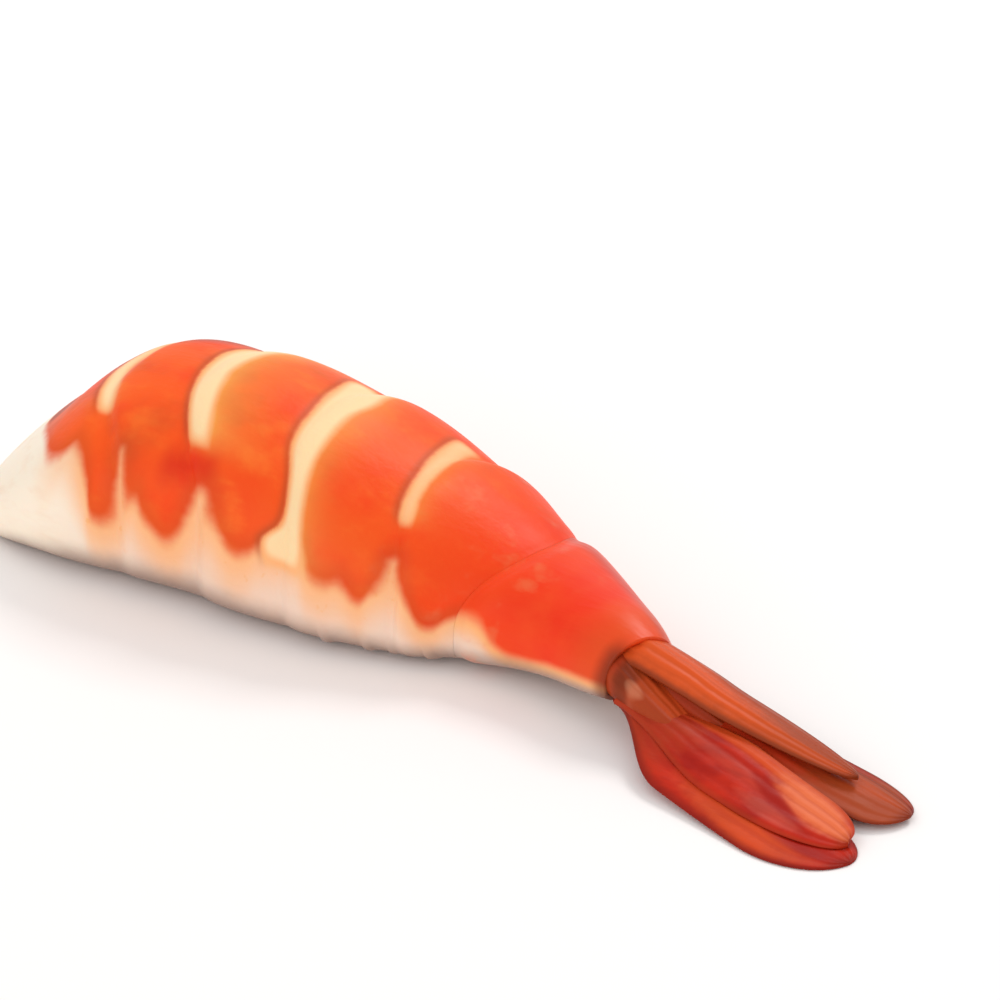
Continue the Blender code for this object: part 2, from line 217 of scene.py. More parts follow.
# Lower edge of the orange skin: length, and share down the side
ORANGE_EDGE = (
    (4.6, -0.1), (5.0, 0.08), (5.6, 0.17), (7.0, 0.26), (8.8, 0.35), (10.6, 0.43), (12.3, 0.43),
    (13.8, 0.4), (16.4, 0.51), (17.5, 0.61), (20.2, 0.61), (22.2, 0.53), (23.4, 0.57), (25.6, 0.63),
    (27.4, 0.62), (28.6, 0.57), (31.4, 0.52), (33.9, 0.58), (35.6, 0.575), (37.2, 0.53), (41.6, 0.5),
    (42.8, 0.56), (44.2, 0.575), (46.0, 0.56), (48.1, 0.6), (49.2, 0.55), (51.6, 0.5), (53.3, 0.55),
    (55.0, 0.63), (56.4, 0.635), (57.8, 0.58), (60.0, 0.54), (62.2, 0.56), (64.2, 0.66), (66.5, 0.71),
    (72.0, 0.69), (80.0, 0.65),
)
# Pale fingers that reach up into the orange: lower end, upper end (length, share), and half widths
FINGERS = (
    ((20.9, 0.62), (19.3, 0.4), 1.0, 0.4),
    ((29.3, 0.66), (29.3, 0.49), 1.7, 1.2),
    ((51.2, 0.62), (50.4, 0.44), 1.1, 0.6),
)
# Pale spot on the last shell: length and share of its middle, and its half sizes
PALE_SPOT = {"place": (64.2, 0.27), "sizes": (1.2, 0.045)}
# Deep red spot, and dark streaks of painted shade along the far side's upper outline, given as the fingers
# are
RED_SPOT = ((25.0, 0.40), (29.0, 0.38), 0.5, 0.3)
OUTLINE_SHADE_STREAKS = (((5.2, 0.12), (9.5, -0.12), 1.6, 1.2), ((9.5, -0.12), (24.0, -0.42), 1.0, 1.3))
SIDE_ARC = 23.0          # arc from the ridge to the lower corner, for measuring across the side
OUTSIDE = -9.0           # distance from a band where there is none
BAND_FADE = (-1.0, 1.5)  # run at a band's ends in which its glow and line fade
# The brown line in front of each band is painted shade in the groove there
GROOVE_SHADE_LEAD = 0.35         # how far in front of a band its brown line lies
GROOVE_SHADE_WIDTH = 0.45
SKIN_START = 4.4         # length at which the orange skin starts on the ridge
SKIN_LAG = 14.0          # how far back it starts down the side, from a share on
SKIN_LAG_START = 0.05
SKIN_LAG_POWER = 1.5
SKIN_SHARPNESS = 1.6     # how sharp the corners between its edges are

# Colours, as they look on a screen
ORANGE = (0.98, 0.365, 0.10)
ORANGE_LIGHT = (1.0, 0.46, 0.15)
ORANGE_RED = (0.97, 0.30, 0.08)
ORANGE_BROWN = (0.72, 0.30, 0.13)
BLUSH = (0.97, 0.23, 0.06)
CREAM = (1.0, 0.86, 0.66)
PEACH = (1.0, 0.72, 0.49)
GLOW = (0.96, 0.64, 0.30)
FLESH = (0.99, 0.93, 0.85)
# Pale flesh of the belly band, darkened by painted shade
SHADED_BELLY = (0.96, 0.84, 0.76)
FLESH_SHADE = (0.95, 0.80, 0.68)
# Grey brown of painted contact shade along the lower edges, by the floor
CONTACT_SHADE = (0.60, 0.50, 0.46)
# Dark brown of painted shade along the far side's upper outline
OUTLINE_SHADE_BROWN = (0.55, 0.27, 0.23)
DEEP_RED = (0.87, 0.17, 0.06)
SHELL_RED = (0.95, 0.20, 0.06)
SHELL_ORANGE = (0.96, 0.29, 0.10)
SHELL_BROWN = (0.66, 0.25, 0.10)
# Dark brown of painted shade in the notch under the last shell's rim and on the base pieces there; on the
# telson's rim it is partly its own darker edge, partly painted shade
SHADE_AND_RIM_BROWN = (0.42, 0.16, 0.06)
# Red brown of the blades' roots and of the base pieces, partly their own colour, partly painted shade under
# the shell's rim
ROOT_BROWN = (0.68, 0.21, 0.09)
# Brown of a painted shade line along the last shell's far outline
FAR_OUTLINE_SHADE = (0.62, 0.13, 0.05)
TAIL_RED = (0.80, 0.17, 0.07)
TAIL_DEEP = (0.64, 0.09, 0.04)
TAIL_ORANGE = (0.93, 0.46, 0.28)
# Lighter orange of painted light, where the tail's upper faces catch the light
TAIL_LIT = (0.88, 0.34, 0.13)
# Pale peach of a painted highlight on the knuckle at the blades' root
KNUCKLE_HIGHLIGHT = (0.98, 0.66, 0.50)
# Pink of painted highlights on the inner left blade
PINK_HIGHLIGHT = (0.93, 0.50, 0.42)
TAIL_BROWN = (0.66, 0.27, 0.12)
TAIL_RIM = (0.40, 0.08, 0.04)
FLOOR = (1.0, 0.985, 0.98)
WHITE = (1.0, 1.0, 1.0, 1.0)

RIB_WAVES = 17.0         # turns of the ribs' wave from a blade's middle to its edge, in radians
# The brown line is painted shade in the groove in front of each band
GROOVE_SHADE_WEIGHT = 0.6        # strength of the brown line in front of each band
NOISE_ROUGHNESS = 0.55

# Noises: waves for each metre, octaves, share of the waves kept along the body, and turn in radians
NOISES = {
    "cloud": (85.0, 2.0, 1.0, 0.0),
    "shade": (130.0, 3.0, 1.0, 0.0),
    "blush": (165.0, 3.0, 1.0, 0.0),
    "mottle": (210.0, 4.0, 1.0, 0.0),
    "freckle": (250.0, 3.0, 1.0, 0.0),
    "fleck": (900.0, 2.0, 1.0, 0.0),
    "fine": (1300.0, 2.0, 1.0, 0.0),
    "flesh_fibre": (480.0, 3.0, 0.3, 0.0),
    "shell_mottle": (160.0, 4.0, 1.0, 0.0),
    "shell_fibre": (420.0, 3.0, 0.3, 0.35),
    "shell_grain": (700.0, 3.0, 1.0, 0.0),
    "blade_mottle": (190.0, 4.0, 1.0, 0.0),
    "blade_fibre": (500.0, 3.0, 0.25, 0.15),
}

# Sums: the weight of each value, and a last number that is added
MIXES = {
    "wobble": (0.5, 0.3, 0.0),
    "light": (0.7, 0.5, 0.0),
    "blush": (1.0, 0.4, 0.0),
    "spot": (1.0, 1.0, 0.0),
    "red": (1.0, 1.0, 0.0),
    "glow": (0.25, 0.85),
    "band": (1.0, 0.45, 0.0),
    "low": (1.0, 0.02, 0.0),
    "flesh_height": (0.7, 0.3, 0.0),
    "flesh_roughness": (0.1, 0.45),
    "shell_red": (1.0, 0.8, 0.0),
    "notch_shade": (1.0, 0.5, 0.0),
    "pale_spot": (1.0, 2.6, 0.0),
    "shell_roughness": (0.08, 0.36),
    "waver": (1.2, 1.6, 0.0),
    "blade_cloud": (1.0, 1.0, 0.0),
    "mark": (1.0, 0.3, 0.35, 0.0),
    "blade_height": (1.0, 0.8, 0.0),
    "blade_roughness": (0.08, 0.46),
}

# Smooth steps: the values at which each begins and is full, and its weight there
STEPS = {
    "cloud": (-0.35, 0.4, 1.0),
    "light": (0.0, 0.55, 0.7),
    "shade": (0.0, 0.5, 0.32),
    "blush": (0.05, 0.5, 0.5),
    "tailward": (40.0, 62.0, 0.6),
    "freckle": (0.12, 0.5, 0.45),
    "rear": (44.0, 52.0, 1.0),
    "rim": (2.2, 0.2, 0.32),
    "spot": (-1.8, 0.6, 0.75),
    "past_head": (8.0, 16.0, 1.0),
    "near_orange": (-5.0, -0.4, 1.0),
    # painted shade: the pale flesh turns to the shaded belly tone along the body
    "belly": (10.0, 26.0, 1.0),
    "fibre": (0.0, 0.6, 0.35),
    "peach": (-5.0, -0.4, 0.9),
    "fleck": (0.25, 0.5, 0.35),
    "skin": (-1.1, 0.5, 1.0),
    "cream_edge": (0.9, 0.1, 1.0),
    "cream_rear": (42.0, 46.0, 0.6),
    "band": (-0.4, 0.4, 1.0),
    # painted shade along the far side's upper outline, only on bare orange skin
    "outline_shade": (-1.6, 1.0, 0.7),
    "outline_shade_skin": (-0.2, 0.6, 1.0),
    "off_band": (0.3, -0.3, 1.0),
    # painted contact shade along the meat's lower edge
    "flesh_contact_shade": (0.7, 0.81, 0.85),
    "shell_cloud": (-0.4, 0.5, 1.0),
    "shell_front": (68.0, 61.0, 0.6),
    "shell_rear": (71.0, 77.0, 0.6),
    # painted shade line along the last shell's far outline
    "far_shade_line": (-0.2, -0.34, 0.4),
    "far_shade_line_end": (-0.5, -0.36, 1.0),
    "shell_belly": (-0.8, -4.0, 1.0),
    "shell_pale": (1.1, -1.3, 1.0),
    # painted contact shade along the shell's lower edge
    "shell_contact_shade": (0.69, 0.82, 0.75),
    # painted shade in the notch at the shell's rear, on the near side
    "notch_shade": (76.4, 78.2, 0.75),
    "notch_shade_side": (0.05, 0.35, 1.0),
    "pale_spot": (2.6, -1.0, 0.55),
    "shell_freckle": (0.12, 0.5, 0.5),
    "shell_fore": (72.0, 63.0, 1.0),
    "blade_cloud": (-0.6, 0.7, 1.0),
    "mark": (1.7, 0.2, 1.0),
    "blade_edge": (0.82, 1.0, 1.0),
    "blade_tip": (0.95, 1.0, 1.0),
    "rib": (0.2, 1.0, 0.2),
}

# What is the same all over a material, and its bump: distance in metres, and strength
SHADERS = {
    "flesh": {
        "Specular IOR Level": 0.13, "Coat Weight": 0.02, "Coat Roughness": 0.3,
        "Subsurface Weight": 0.1, "Subsurface Radius": (1.0, 0.35, 0.18), "Subsurface Scale": 0.0015,
    },
    "shell": {
        "Specular IOR Level": 0.16, "Coat Weight": 0.03, "Coat Roughness": 0.25,
        "Subsurface Weight": 0.08, "Subsurface Radius": (1.0, 0.25, 0.1), "Subsurface Scale": 0.001,
    },
    "blade": {"Specular IOR Level": 0.14},
    "floor": {"Specular IOR Level": 0.0, "Roughness": 0.9},
}
BUMPS = {"flesh": (0.0001, 0.6), "shell": (0.00012, 0.6), "blade": (0.00008, 0.5)}

# Blades and base pieces: each mark is a colour, its place out and across, its sizes, slant and weight;
# several marks are painted light or shade, as noted with each piece
LOOKS = {
    # Telson: its lit marks are painted light, and its dark rim is partly painted shade
    "telson": {
        "main": TAIL_BROWN, "deep": SHELL_BROWN, "rim": SHADE_AND_RIM_BROWN, "rim_weight": 0.6,
        "marks": ((TAIL_LIT, 0.1, -0.15, 0.5, 0.8, 0.0, 0.95),
                  (TAIL_LIT, 0.7, -0.4, 0.35, 0.4, 0.0, 0.5)),
    },
    # Inner left blade: the lit mark is painted light, the pink marks painted highlights, and the small deep
    # red streak painted shade beside its ridge
    "uropod_inner_left": {
        "main": TAIL_RED, "deep": TAIL_DEEP, "rim": SHELL_BROWN, "rim_weight": 0.4,
        "marks": ((ROOT_BROWN, 0.05, 0.0, 0.28, 1.6, 0.0, 0.9),
                  (TAIL_LIT, 0.6, 0.8, 0.4, 0.35, 0.0, 0.7),
                  (PINK_HIGHLIGHT, 0.5, -0.1, 0.3, 0.2, -0.4, 0.12),
                  (TAIL_ORANGE, 0.84, 0.3, 0.2, 0.6, -1.2, 0.9),
                  (TAIL_DEEP, 0.71, -0.22, 0.13, 0.2, -2.0, 0.9),
                  (PINK_HIGHLIGHT, 0.72, -0.6, 0.13, 0.2, -0.5, 0.22)),
    },
    # Outer left blade: the root is partly painted shade, the lit mark painted light, and the deep mark
    # painted shadow where the inner blade lies over it
    "uropod_outer_left": {
        "main": TAIL_RED, "deep": TAIL_DEEP, "rim": TAIL_RIM, "rim_weight": 0.6,
        "marks": ((ROOT_BROWN, 0.0, 0.0, 0.32, 1.8, 0.0, 0.9),
                  (TAIL_LIT, 0.66, -0.65, 0.26, 0.3, -0.3, 0.6),
                  (TAIL_DEEP, 0.74, -0.15, 0.28, 0.32, -0.6, 0.8)),
    },
    # Inner right blade: its lit mark is painted light
    "uropod_inner_right": {
        "main": TAIL_BROWN, "deep": SHELL_BROWN, "rim": TAIL_RIM, "rim_weight": 0.55,
        "marks": ((TAIL_RED, 0.3, -0.3, 0.35, 0.9, 0.0, 0.7),
                  (TAIL_LIT, 0.75, 0.3, 0.2, 0.4, 0.0, 0.3)),
    },
    "uropod_outer_right": {
        "main": TAIL_BROWN, "deep": TAIL_DEEP, "rim": TAIL_RIM, "rim_weight": 0.6,
        "marks": ((SHELL_BROWN, 0.1, 0.0, 0.3, 1.4, 0.0, 0.8),),
    },
    # Left base: the dark mark is painted shade in the notch, the knuckle mark a painted highlight, and the
    # lit mark painted light
    "fan_base_left": {
        "main": ROOT_BROWN, "deep": SHELL_BROWN, "rim": SHELL_BROWN, "rim_weight": 0.0,
        "marks": ((SHADE_AND_RIM_BROWN, 0.23, -0.3, 0.1, 1.2, 0.0, 0.75),
                  (KNUCKLE_HIGHLIGHT, 0.35, -0.75, 0.09, 0.22, 0.0, 0.3),
                  (TAIL_LIT, 0.6, 0.3, 0.4, 0.8, 0.0, 0.5)),
    },
    # Right base: its dark mark is painted shade under the shell's rim
    "fan_base_right": {
        "main": ROOT_BROWN, "deep": SHELL_BROWN, "rim": SHELL_BROWN, "rim_weight": 0.0,
        "marks": ((SHADE_AND_RIM_BROWN, 0.25, 0.0, 0.15, 1.6, 0.0, 0.7),),
    },
}

# Colour sockets of the mix node
COLOUR_A, COLOUR_B, COLOUR_OUT = 6, 7, 2

# Camera
AZIMUTH = 34.0
ELEVATION = 30.0
VIEW_CENTRE = (1.18, 4.53, 14.0)
PICTURE_WIDTH = 97.1
LENS = 600.0
SENSOR = 36.0
VIEW_DEPTH = 50.0        # metres

# Stage, in metres; a light's place is to the right, towards the viewer and up, and its power in watts
FLOOR_HALF = 3.0
WORLD_STRENGTH = 0.76
LIGHTS = {
    "key": {"place": (0.3, -0.5, 0.6), "size": 0.25, "power": 2.3, "colour": (1.0, 0.98, 0.96)},
    "fill": {"place": (-0.45, 0.7, 0.5), "size": 0.7, "power": 1.8, "colour": (1.0, 0.97, 0.95)},
}


def smoothstep(low, high, value):
    """Rises from 0 at low to 1 at high, level at both ends."""
    share = np.clip((np.asarray(value, float) - low) / (high - low), 0.0, 1.0)
    return share * share * (3.0 - 2.0 * share)


def curve_value(xs, ys, x):
    """Values at x of a smooth curve through the points (xs, ys)."""
    xs, ys = np.asarray(xs, float), np.asarray(ys, float)
    x = np.clip(np.asarray(x, float), xs[0], xs[-1])
    index = np.arange(len(xs))
    before = np.maximum(index - 1, 0)
    after = np.minimum(index + 1, len(xs) - 1)
    slopes = (ys[after] - ys[before]) / (xs[after] - xs[before])
    k = np.clip(np.searchsorted(xs, x, side="right") - 1, 0, len(xs) - 2)
    span = xs[k + 1] - xs[k]
    t = (x - xs[k]) / span
    return ((2 * t**3 - 3 * t**2 + 1) * ys[k] + (t**3 - 2 * t**2 + t) * span * slopes[k]
            + (3 * t**2 - 2 * t**3) * ys[k + 1] + (t**3 - t**2) * span * slopes[k + 1])


def heading(s):
    """Direction of the centre line at s, in radians from +X."""
    return np.radians(START_HEADING + BODY_TURN * (np.maximum(s, 0.0) / STATIONS[-1]) ** 2
                      + TAIL_TURN * smoothstep(*TAIL_TURN_RANGE, s))


def centre_line():
    """Table of the centre line: lengths, and the points at them."""
    lengths = np.arange(0.0, STATIONS[-1] + LINE_EXTRA, LINE_STEP)
    turns = heading(lengths[:-1] + LINE_STEP / 2)
    xs = np.concatenate([[0.0], np.cumsum(np.cos(turns) * LINE_STEP)])
    ys = np.concatenate([[0.0], np.cumsum(np.sin(turns) * LINE_STEP)])
    return lengths, xs, ys


LINE_S, LINE_X, LINE_Y = centre_line()


def half_sections(height, half_width):
    """Halves of cross sections, from the ridge to the middle of the belly: their y and z."""
    side = SIDE_LEVEL * height[:, None]
    angle = np.pi / 2 * np.arange(SECTION_SAMPLES + 1) / SECTION_SAMPLES
    upper_y = half_width[:, None] * np.sin(angle) ** (2 / BACK_POWER)
    upper_z = side + (height[:, None] - side) * np.cos(angle) ** (2 / BACK_POWER)
    angle = np.pi / 2 * (1 - np.arange(1, SECTION_SAMPLES + 1) / SECTION_SAMPLES)
    lower_y = half_width[:, None] * np.sin(angle) ** (2 / BELLY_POWER)
    lower_z = side * np.maximum(1 - BELLY_CUT * np.cos(angle) ** (2 / BELLY_POWER), 0.0)
    ys = np.concatenate([upper_y, lower_y], 1)
    zs = np.concatenate([upper_z, lower_z], 1)
    arcs = np.cumsum(np.hypot(np.diff(ys, axis=1), np.diff(zs, axis=1)), 1)
    arcs = np.concatenate([np.zeros((len(ys), 1)), arcs], 1)
    corner = arcs[np.arange(len(ys)), np.argmax(zs < FLAT, axis=1)]
    return ys, zs, arcs, corner


def body_size(s):
    """Height and half width of the body at s, with the rounded head end."""
    part = np.sqrt(np.maximum(1 - (1 - np.clip(s, 0, END_LENGTH) / END_LENGTH) ** 2, 0.0))
    height = curve_value(STATIONS, HEIGHTS, s) * (END_HEIGHT_SHARE + (1 - END_HEIGHT_SHARE) * part)
    half_width = curve_value(STATIONS, HALF_WIDTHS, s) * (END_WIDTH_SHARE + (1 - END_WIDTH_SHARE) * part)
    return height, half_width


def swell(start, down):
    """Rise of the skin: steep behind each groove, then falling gently to the next one."""
    edges = np.asarray(SEGMENT_STARTS)
    k = np.clip(np.searchsorted(edges, start, side="right") - 1, 0, len(edges) - 2)
    share = (start - edges[k]) / (edges[k + 1] - edges[k])
    rise = np.where(share < SWELL_PEAK, np.sin(np.pi / 2 * share / SWELL_PEAK),
                    1.0 - SWELL_FALL * smoothstep(SWELL_PEAK, 1.0, share))
    rise = np.where(k == 0, 1.0 - HEAD_SWELL_FALL * smoothstep(SWELL_PEAK, 1.0, share), rise)
    to_groove = np.min(np.abs(start[:, None] - edges[1:-1]), axis=1)
    rise = rise * (1.0 - GROOVE_DEPTH * np.exp(-(to_groove / GROOVE_WIDTH) ** 2))
    return SWELL * rise * (1.0 - smoothstep(*SWELL_FADE, down))


def stump_height(s, down):
    """How far the leg stumps stand out at length s and share down."""
    first, last = STUMP_RANGE
    waves = sum(np.sin(2 * np.pi * s / wave + shift) for wave, shift in STUMP_WAVES) / len(STUMP_WAVES)
    room = smoothstep(first, first + STUMP_FADE, s) * (1 - smoothstep(last - STUMP_FADE, last, s))
    place = np.exp(-((down - STUMP_PLACE) / STUMP_WIDTH) ** 2)
    return STUMP_HEIGHT * np.maximum(waves, 0.0) * room * place


def body_ring(start, raise_by=0.0, relief=1.0):
    """Ring of skin points whose line begins at start on the back, with their lengths and shares.

    Only the bare skin, with no rise, has the leg stumps and the groove of the belly.
    """
    share = np.arange(ROUND_POINTS) * 2.0 / ROUND_POINTS - 1.0
    starts = np.full(ROUND_POINTS, float(start))
    way = np.abs(share)
    side = np.where(share >= 0, 1.0, -1.0)
    _, _, arcs, corner = half_sections(*body_size(starts))
    down = np.minimum(way * arcs[:, -1] / corner, 1.0)
    s = starts + curve_value(SEGMENT_STARTS, SIDE_LEANS, starts) * smoothstep(*LEAN_RANGE, down)
    ys, zs, arcs, corner = half_sections(*body_size(s))
    target = way * arcs[:, -1]
    rows = np.arange(ROUND_POINTS)
    k = np.clip((arcs <= target[:, None]).sum(1) - 1, 0, arcs.shape[1] - 2)
    run = np.maximum(arcs[rows, k + 1] - arcs[rows, k], NARROW)
    t = (target - arcs[rows, k]) / run
    dy = (ys[rows, k + 1] - ys[rows, k]) / run
    dz = (zs[rows, k + 1] - zs[rows, k]) / run
    offset = relief * swell(starts, down) + raise_by
    y = ys[rows, k] + t * dy * run - dz * offset
    z = zs[rows, k] + t * dz * run + dy * offset
    if raise_by == 0.0:
        y = y + stump_height(s, target / corner)
        fade = smoothstep(0, END_LENGTH, s) * (1 - smoothstep(*BELLY_GROOVE_FADE, s))
        groove = BELLY_GROOVE_DEPTH * fade * (1 - smoothstep(0, BELLY_GROOVE_REACH, y))
        z = np.where(target > corner, groove, z)
    z = np.maximum(z + LIFT * smoothstep(*LIFT_RANGE, s), 0.0)
    turn = heading(s)
    points = np.stack([np.interp(s, LINE_S, LINE_X) - np.sin(turn) * side * y,
                       np.interp(s, LINE_S, LINE_Y) + np.cos(turn) * side * y, z], 1)
    return points, s, -side * target / corner


def fan_share(x):
    """How far x is from the fan's roots to its tips, 0 to 1."""
    return np.clip((x - FAN_START) / (FAN_END - FAN_START), 0.0, 1.0)


def fan_level(x, y):
    """Height of the lowest layer of the tail fan over the floor."""
    aside = y - (RIDGE_START + RIDGE_SLOPE * (x - FAN_START))
    reach = np.where(aside > 0, FAR_REACH, NEAR_REACH)
    fall = np.maximum(1 - (np.abs(aside) / reach) ** FAN_POWER, 0.0)
    return FAN_ROOT_LEVEL * (1 - fan_share(x)) ** FAN_POWER * fall


def blade_ring(spec, u):
    """Ring across a blade at the share u of its length, with its places across from -1 to 1."""
    (x0, y0), (x1, y1) = spec["root"], spec["tip"]
    length = math.hypot(x1 - x0, y1 - y0)
    ex, ey = (x1 - x0) / length, (y1 - y0) / length
    bend = spec["bend"] * math.sin(math.pi * u)
    near_root = 1 - smoothstep(0, ROOT_RUN, u * length)
    v = 2 * np.arange(BLADE_POINTS + 1) / BLADE_POINTS - 1
    side = np.zeros_like(v)
    ends = np.zeros_like(v)
    for sign, name in ((1, "left"), (-1, "right")):
        reach, widest, blunt = spec[name]
        grow = spec["root_share"] + (1 - spec["root_share"]) * smoothstep(0.0, widest, u)
        past = max((u - blunt) / (1 - blunt), 0.0)
        end = math.sqrt(max(1 - past**2, BLADE_END_WIDTH**2))
        here = (v > 0) if sign > 0 else (v <= 0)
        side = np.where(here, v * reach * grow * end, side)
        ends = np.where(here, end, ends)
    x = x0 + (x1 - x0) * u - ey * (bend + side)
    y = y0 + (y1 - y0) * u + ex * (bend + side)
    closing = 1 - LAYER_CLOSING * fan_share(x)
    lift = spec["tilt"] * (v + 1) / 2 * smoothstep(*TILT_RANGE, u)
    level = fan_level(x, y) + (spec["layer"] + lift) * (LAYER + ROOT_EXTRA * near_root) * closing
    level -= ROOT_SINK * (1 - smoothstep(0, ROOT_SINK_RUN, u * length))
    level += spec["dome"] * (1 - v * v) * ends * math.sin(math.pi * min(u + DOME_LEAD, 1.0))
    thick = (spec["thick"] + spec["root_thick"] * near_root) * closing
    edge = np.abs(v) ** EDGE_POWER
    rib = spec["rib"] * np.exp(-(v / RIB_WIDTH) ** 2) * (1 - u)
    top = np.stack([x, y, level + thick * (1 - EDGE_THINNING * edge) + rib], 1)
    bottom = np.stack([x, y, level + EDGE_RISE * thick * edge], 1)
    return np.concatenate([top, bottom[::-1]]), np.concatenate([v, v[::-1]])


def base_ring(spec, t):
    """Ring across a base piece at the share t of its length, with its places across."""
    (x0, y0), (x1, y1) = spec["root"], spec["tip"]
    length = math.hypot(x1 - x0, y1 - y0)
    ex, ey = (x1 - x0) / length, (y1 - y0) / length
    head, tail = spec["rounding"]
    past = max(1 - t / head, (t - 1) / tail + 1, 0.0)
    end = math.sqrt(max(1 - past**2, BLADE_END_WIDTH**2))
    angle = 2 * np.pi * np.arange(BASE_POINTS) / BASE_POINTS
    across = np.sign(np.cos(angle)) * np.abs(np.cos(angle)) ** (2 / BASE_POWER)
    upward = np.sign(np.sin(angle)) * np.abs(np.sin(angle)) ** (2 / BASE_POWER)
    width, low, high = (spec[key][0] * (1 - t) + spec[key][1] * t for key in ("widths", "low", "high"))
    side = across * width * end
    x = x0 + (x1 - x0) * t - ey * side
    y = y0 + (y1 - y0) * t + ex * side
    z = (low + high) / 2 + upward * end * (high - low) / 2
    return np.stack([x, y, z], 1), across


def ring_mesh(name, rings, fields):
    """Closed mesh through rings of equal length, with float attributes from the fields."""
    count = len(rings[0])
    points = np.concatenate(rings)
    middles = np.stack([rings[0].mean(0), rings[-1].mean(0)])
    verts = (np.concatenate([points, middles]) - ORIGIN) * MM
    faces = []
    for row in range(len(rings) - 1):
        a = row * count + np.arange(count)
        b = row * count + (np.arange(count) + 1) % count
        faces.append(np.stack([a, b, b + count, a + count], 1))
    quads = np.concatenate(faces).tolist()
    last = (len(rings) - 1) * count
    for middle, first, flip in ((len(points), 0, True), (len(points) + 1, last, False)):
        for k in range(count):
            pair = (first + k, first + (k + 1) % count)
            quads.append((pair[1], pair[0], middle) if flip else (pair[0], pair[1], middle))
    mesh = bpy.data.meshes.new(name)
    mesh.from_pydata(verts.tolist(), [], quads)
    for field, values in fields.items():
        flat = np.concatenate(values)
        flat = np.concatenate([flat, [values[0].mean(), values[-1].mean()]])
        layer = mesh.attributes.new(field, "FLOAT", "POINT")
        layer.data.foreach_set("value", flat.astype(np.float32))
    mesh.validate()
    mesh.shade_smooth()
    made = bpy.data.objects.new(name, mesh)
    bpy.context.scene.collection.objects.link(made)
    return made


def smooth_least(*values, sharpness=3.0):
    """Least of the values, with rounded corners."""
    stack = np.stack(values)
    return -np.log(np.exp(-sharpness * stack).sum(0)) / sharpness


def finger_distance(s, g, finger):
    """Distance outside a pale finger's edge, in millimetres."""
    (s0, g0), (s1, g1), wide, narrow = finger
    px, py = s - s0, (g - g0) * SIDE_ARC
    dx, dy = s1 - s0, (g1 - g0) * SIDE_ARC
    t = np.clip((px * dx + py * dy) / (dx * dx + dy * dy), 0.0, 1.0)
    return np.hypot(px - t * dx, py - t * dy) - (wide + (narrow - wide) * t)


def orange_edge(s, down):
    """Distance above the orange skin's lower edge, in millimetres."""
    lengths, shares = zip(*ORANGE_EDGE)
    return (curve_value(lengths, shares, s) - down) * SIDE_ARC


def skin_fields(s, g):
    """Fields that the skin's colours are made from, at length s and signed share g."""
    down = np.abs(g)
    band = np.full(s.shape, OUTSIDE)
    glow = np.zeros(s.shape)
    line = np.zeros(s.shape)
    for spec in BANDS:
        shares, lengths = zip(*spec["head"])
        head = curve_value(shares, lengths, g)
        shares, lengths = zip(*spec["tail"])
        tail = curve_value(shares, lengths, g)
        low, high = spec["ends"]
        within = np.minimum(g - low, high - g) * SIDE_ARC
        band = np.maximum(band, smooth_least(s - head, tail - s, within))
        near = smoothstep(*BAND_FADE, within)
        behind = np.exp(-np.maximum(s - tail, 0) / spec["run"]) * (s > head)
        glow = np.maximum(glow, spec["glow"] * near * behind)
        # line: painted shade in the groove just in front of the band
        line = np.maximum(line, near * np.exp(-((s - head + GROOVE_SHADE_LEAD) / GROOVE_SHADE_WIDTH) ** 2))
    edge = orange_edge(s, down)
    start = s - SKIN_START - SKIN_LAG * np.maximum(down - SKIN_LAG_START, 0) ** SKIN_LAG_POWER
    gaps = [finger_distance(s, down, finger) for finger in FINGERS]
    red = smooth_least(edge, start, *gaps, sharpness=SKIN_SHARPNESS)
    spot = -finger_distance(s, down, RED_SPOT)
    # Dark streaks of painted shade along the far side's upper outline
    outline_shade = np.max([-finger_distance(s, g, streak) for streak in OUTLINE_SHADE_STREAKS], axis=0)
    return {"along": s, "down": g, "band": band, "glow": glow, "line": line, "red": red,
            "spot": spot, "outline_shade": outline_shade}


def make_skin():
    """Meat of the first five segments."""
    rounded = [END_LENGTH * (1 - math.cos(math.pi / 2 * k / END_RINGS)) for k in range(END_RINGS + 1)]
    count = round((SHELL_START - END_LENGTH) / ALONG_STEP)
    even = [END_LENGTH + (SHELL_START - END_LENGTH) * k / count for k in range(1, count + 1)]
    places = [(start, 0.0, 1.0) for start in rounded + even]
    for k in range(TONGUE_RINGS):
        start = SHELL_START + SHELL_OVERLAP * (k + 1) / TONGUE_RINGS
        drop = TONGUE_DROP + TONGUE_TAPER * k / (TONGUE_RINGS - 1)
        places.append((start, -drop, SHELL_RELIEF))
    rings, fields = [], {}
    for start, rise, relief in places:
        points, s, g = body_ring(start, rise, relief)
        rings.append(points)
        for name, values in skin_fields(s, g).items():
            fields.setdefault(name, []).append(values)
    return ring_mesh("flesh", rings, fields)


def make_shell():
    """Shell of the sixth segment, closed in front and open as a cup behind."""
    count = round((SHELL_END - SHELL_START) / ALONG_STEP)
    places = []
    for k in range(count + 1):
        start = SHELL_START + (SHELL_END - SHELL_START) * k / count
        past = max((start - SHELL_END) / SHELL_CLOSE + 1, 0.0)
        lip = float(smoothstep(SHELL_START, SHELL_START + SHELL_LIP_RUN, start))
        rise = SHELL_LIP + (SHELL_RAISE - SHELL_LIP) * lip - SHELL_DRAW * past**2
        places.append((start, rise or FLAT))
    rings, fields = [], {"along": [], "down": [], "red": []}
    for start, rise in places + list(SHELL_CUP):
        points, s, g = body_ring(start, raise_by=rise, relief=SHELL_RELIEF)
        rings.append(points)
        fields["along"].append(s)
        fields["down"].append(g)
        fields["red"].append(orange_edge(s, np.abs(g)))
    return ring_mesh("last_shell", rings, fields)


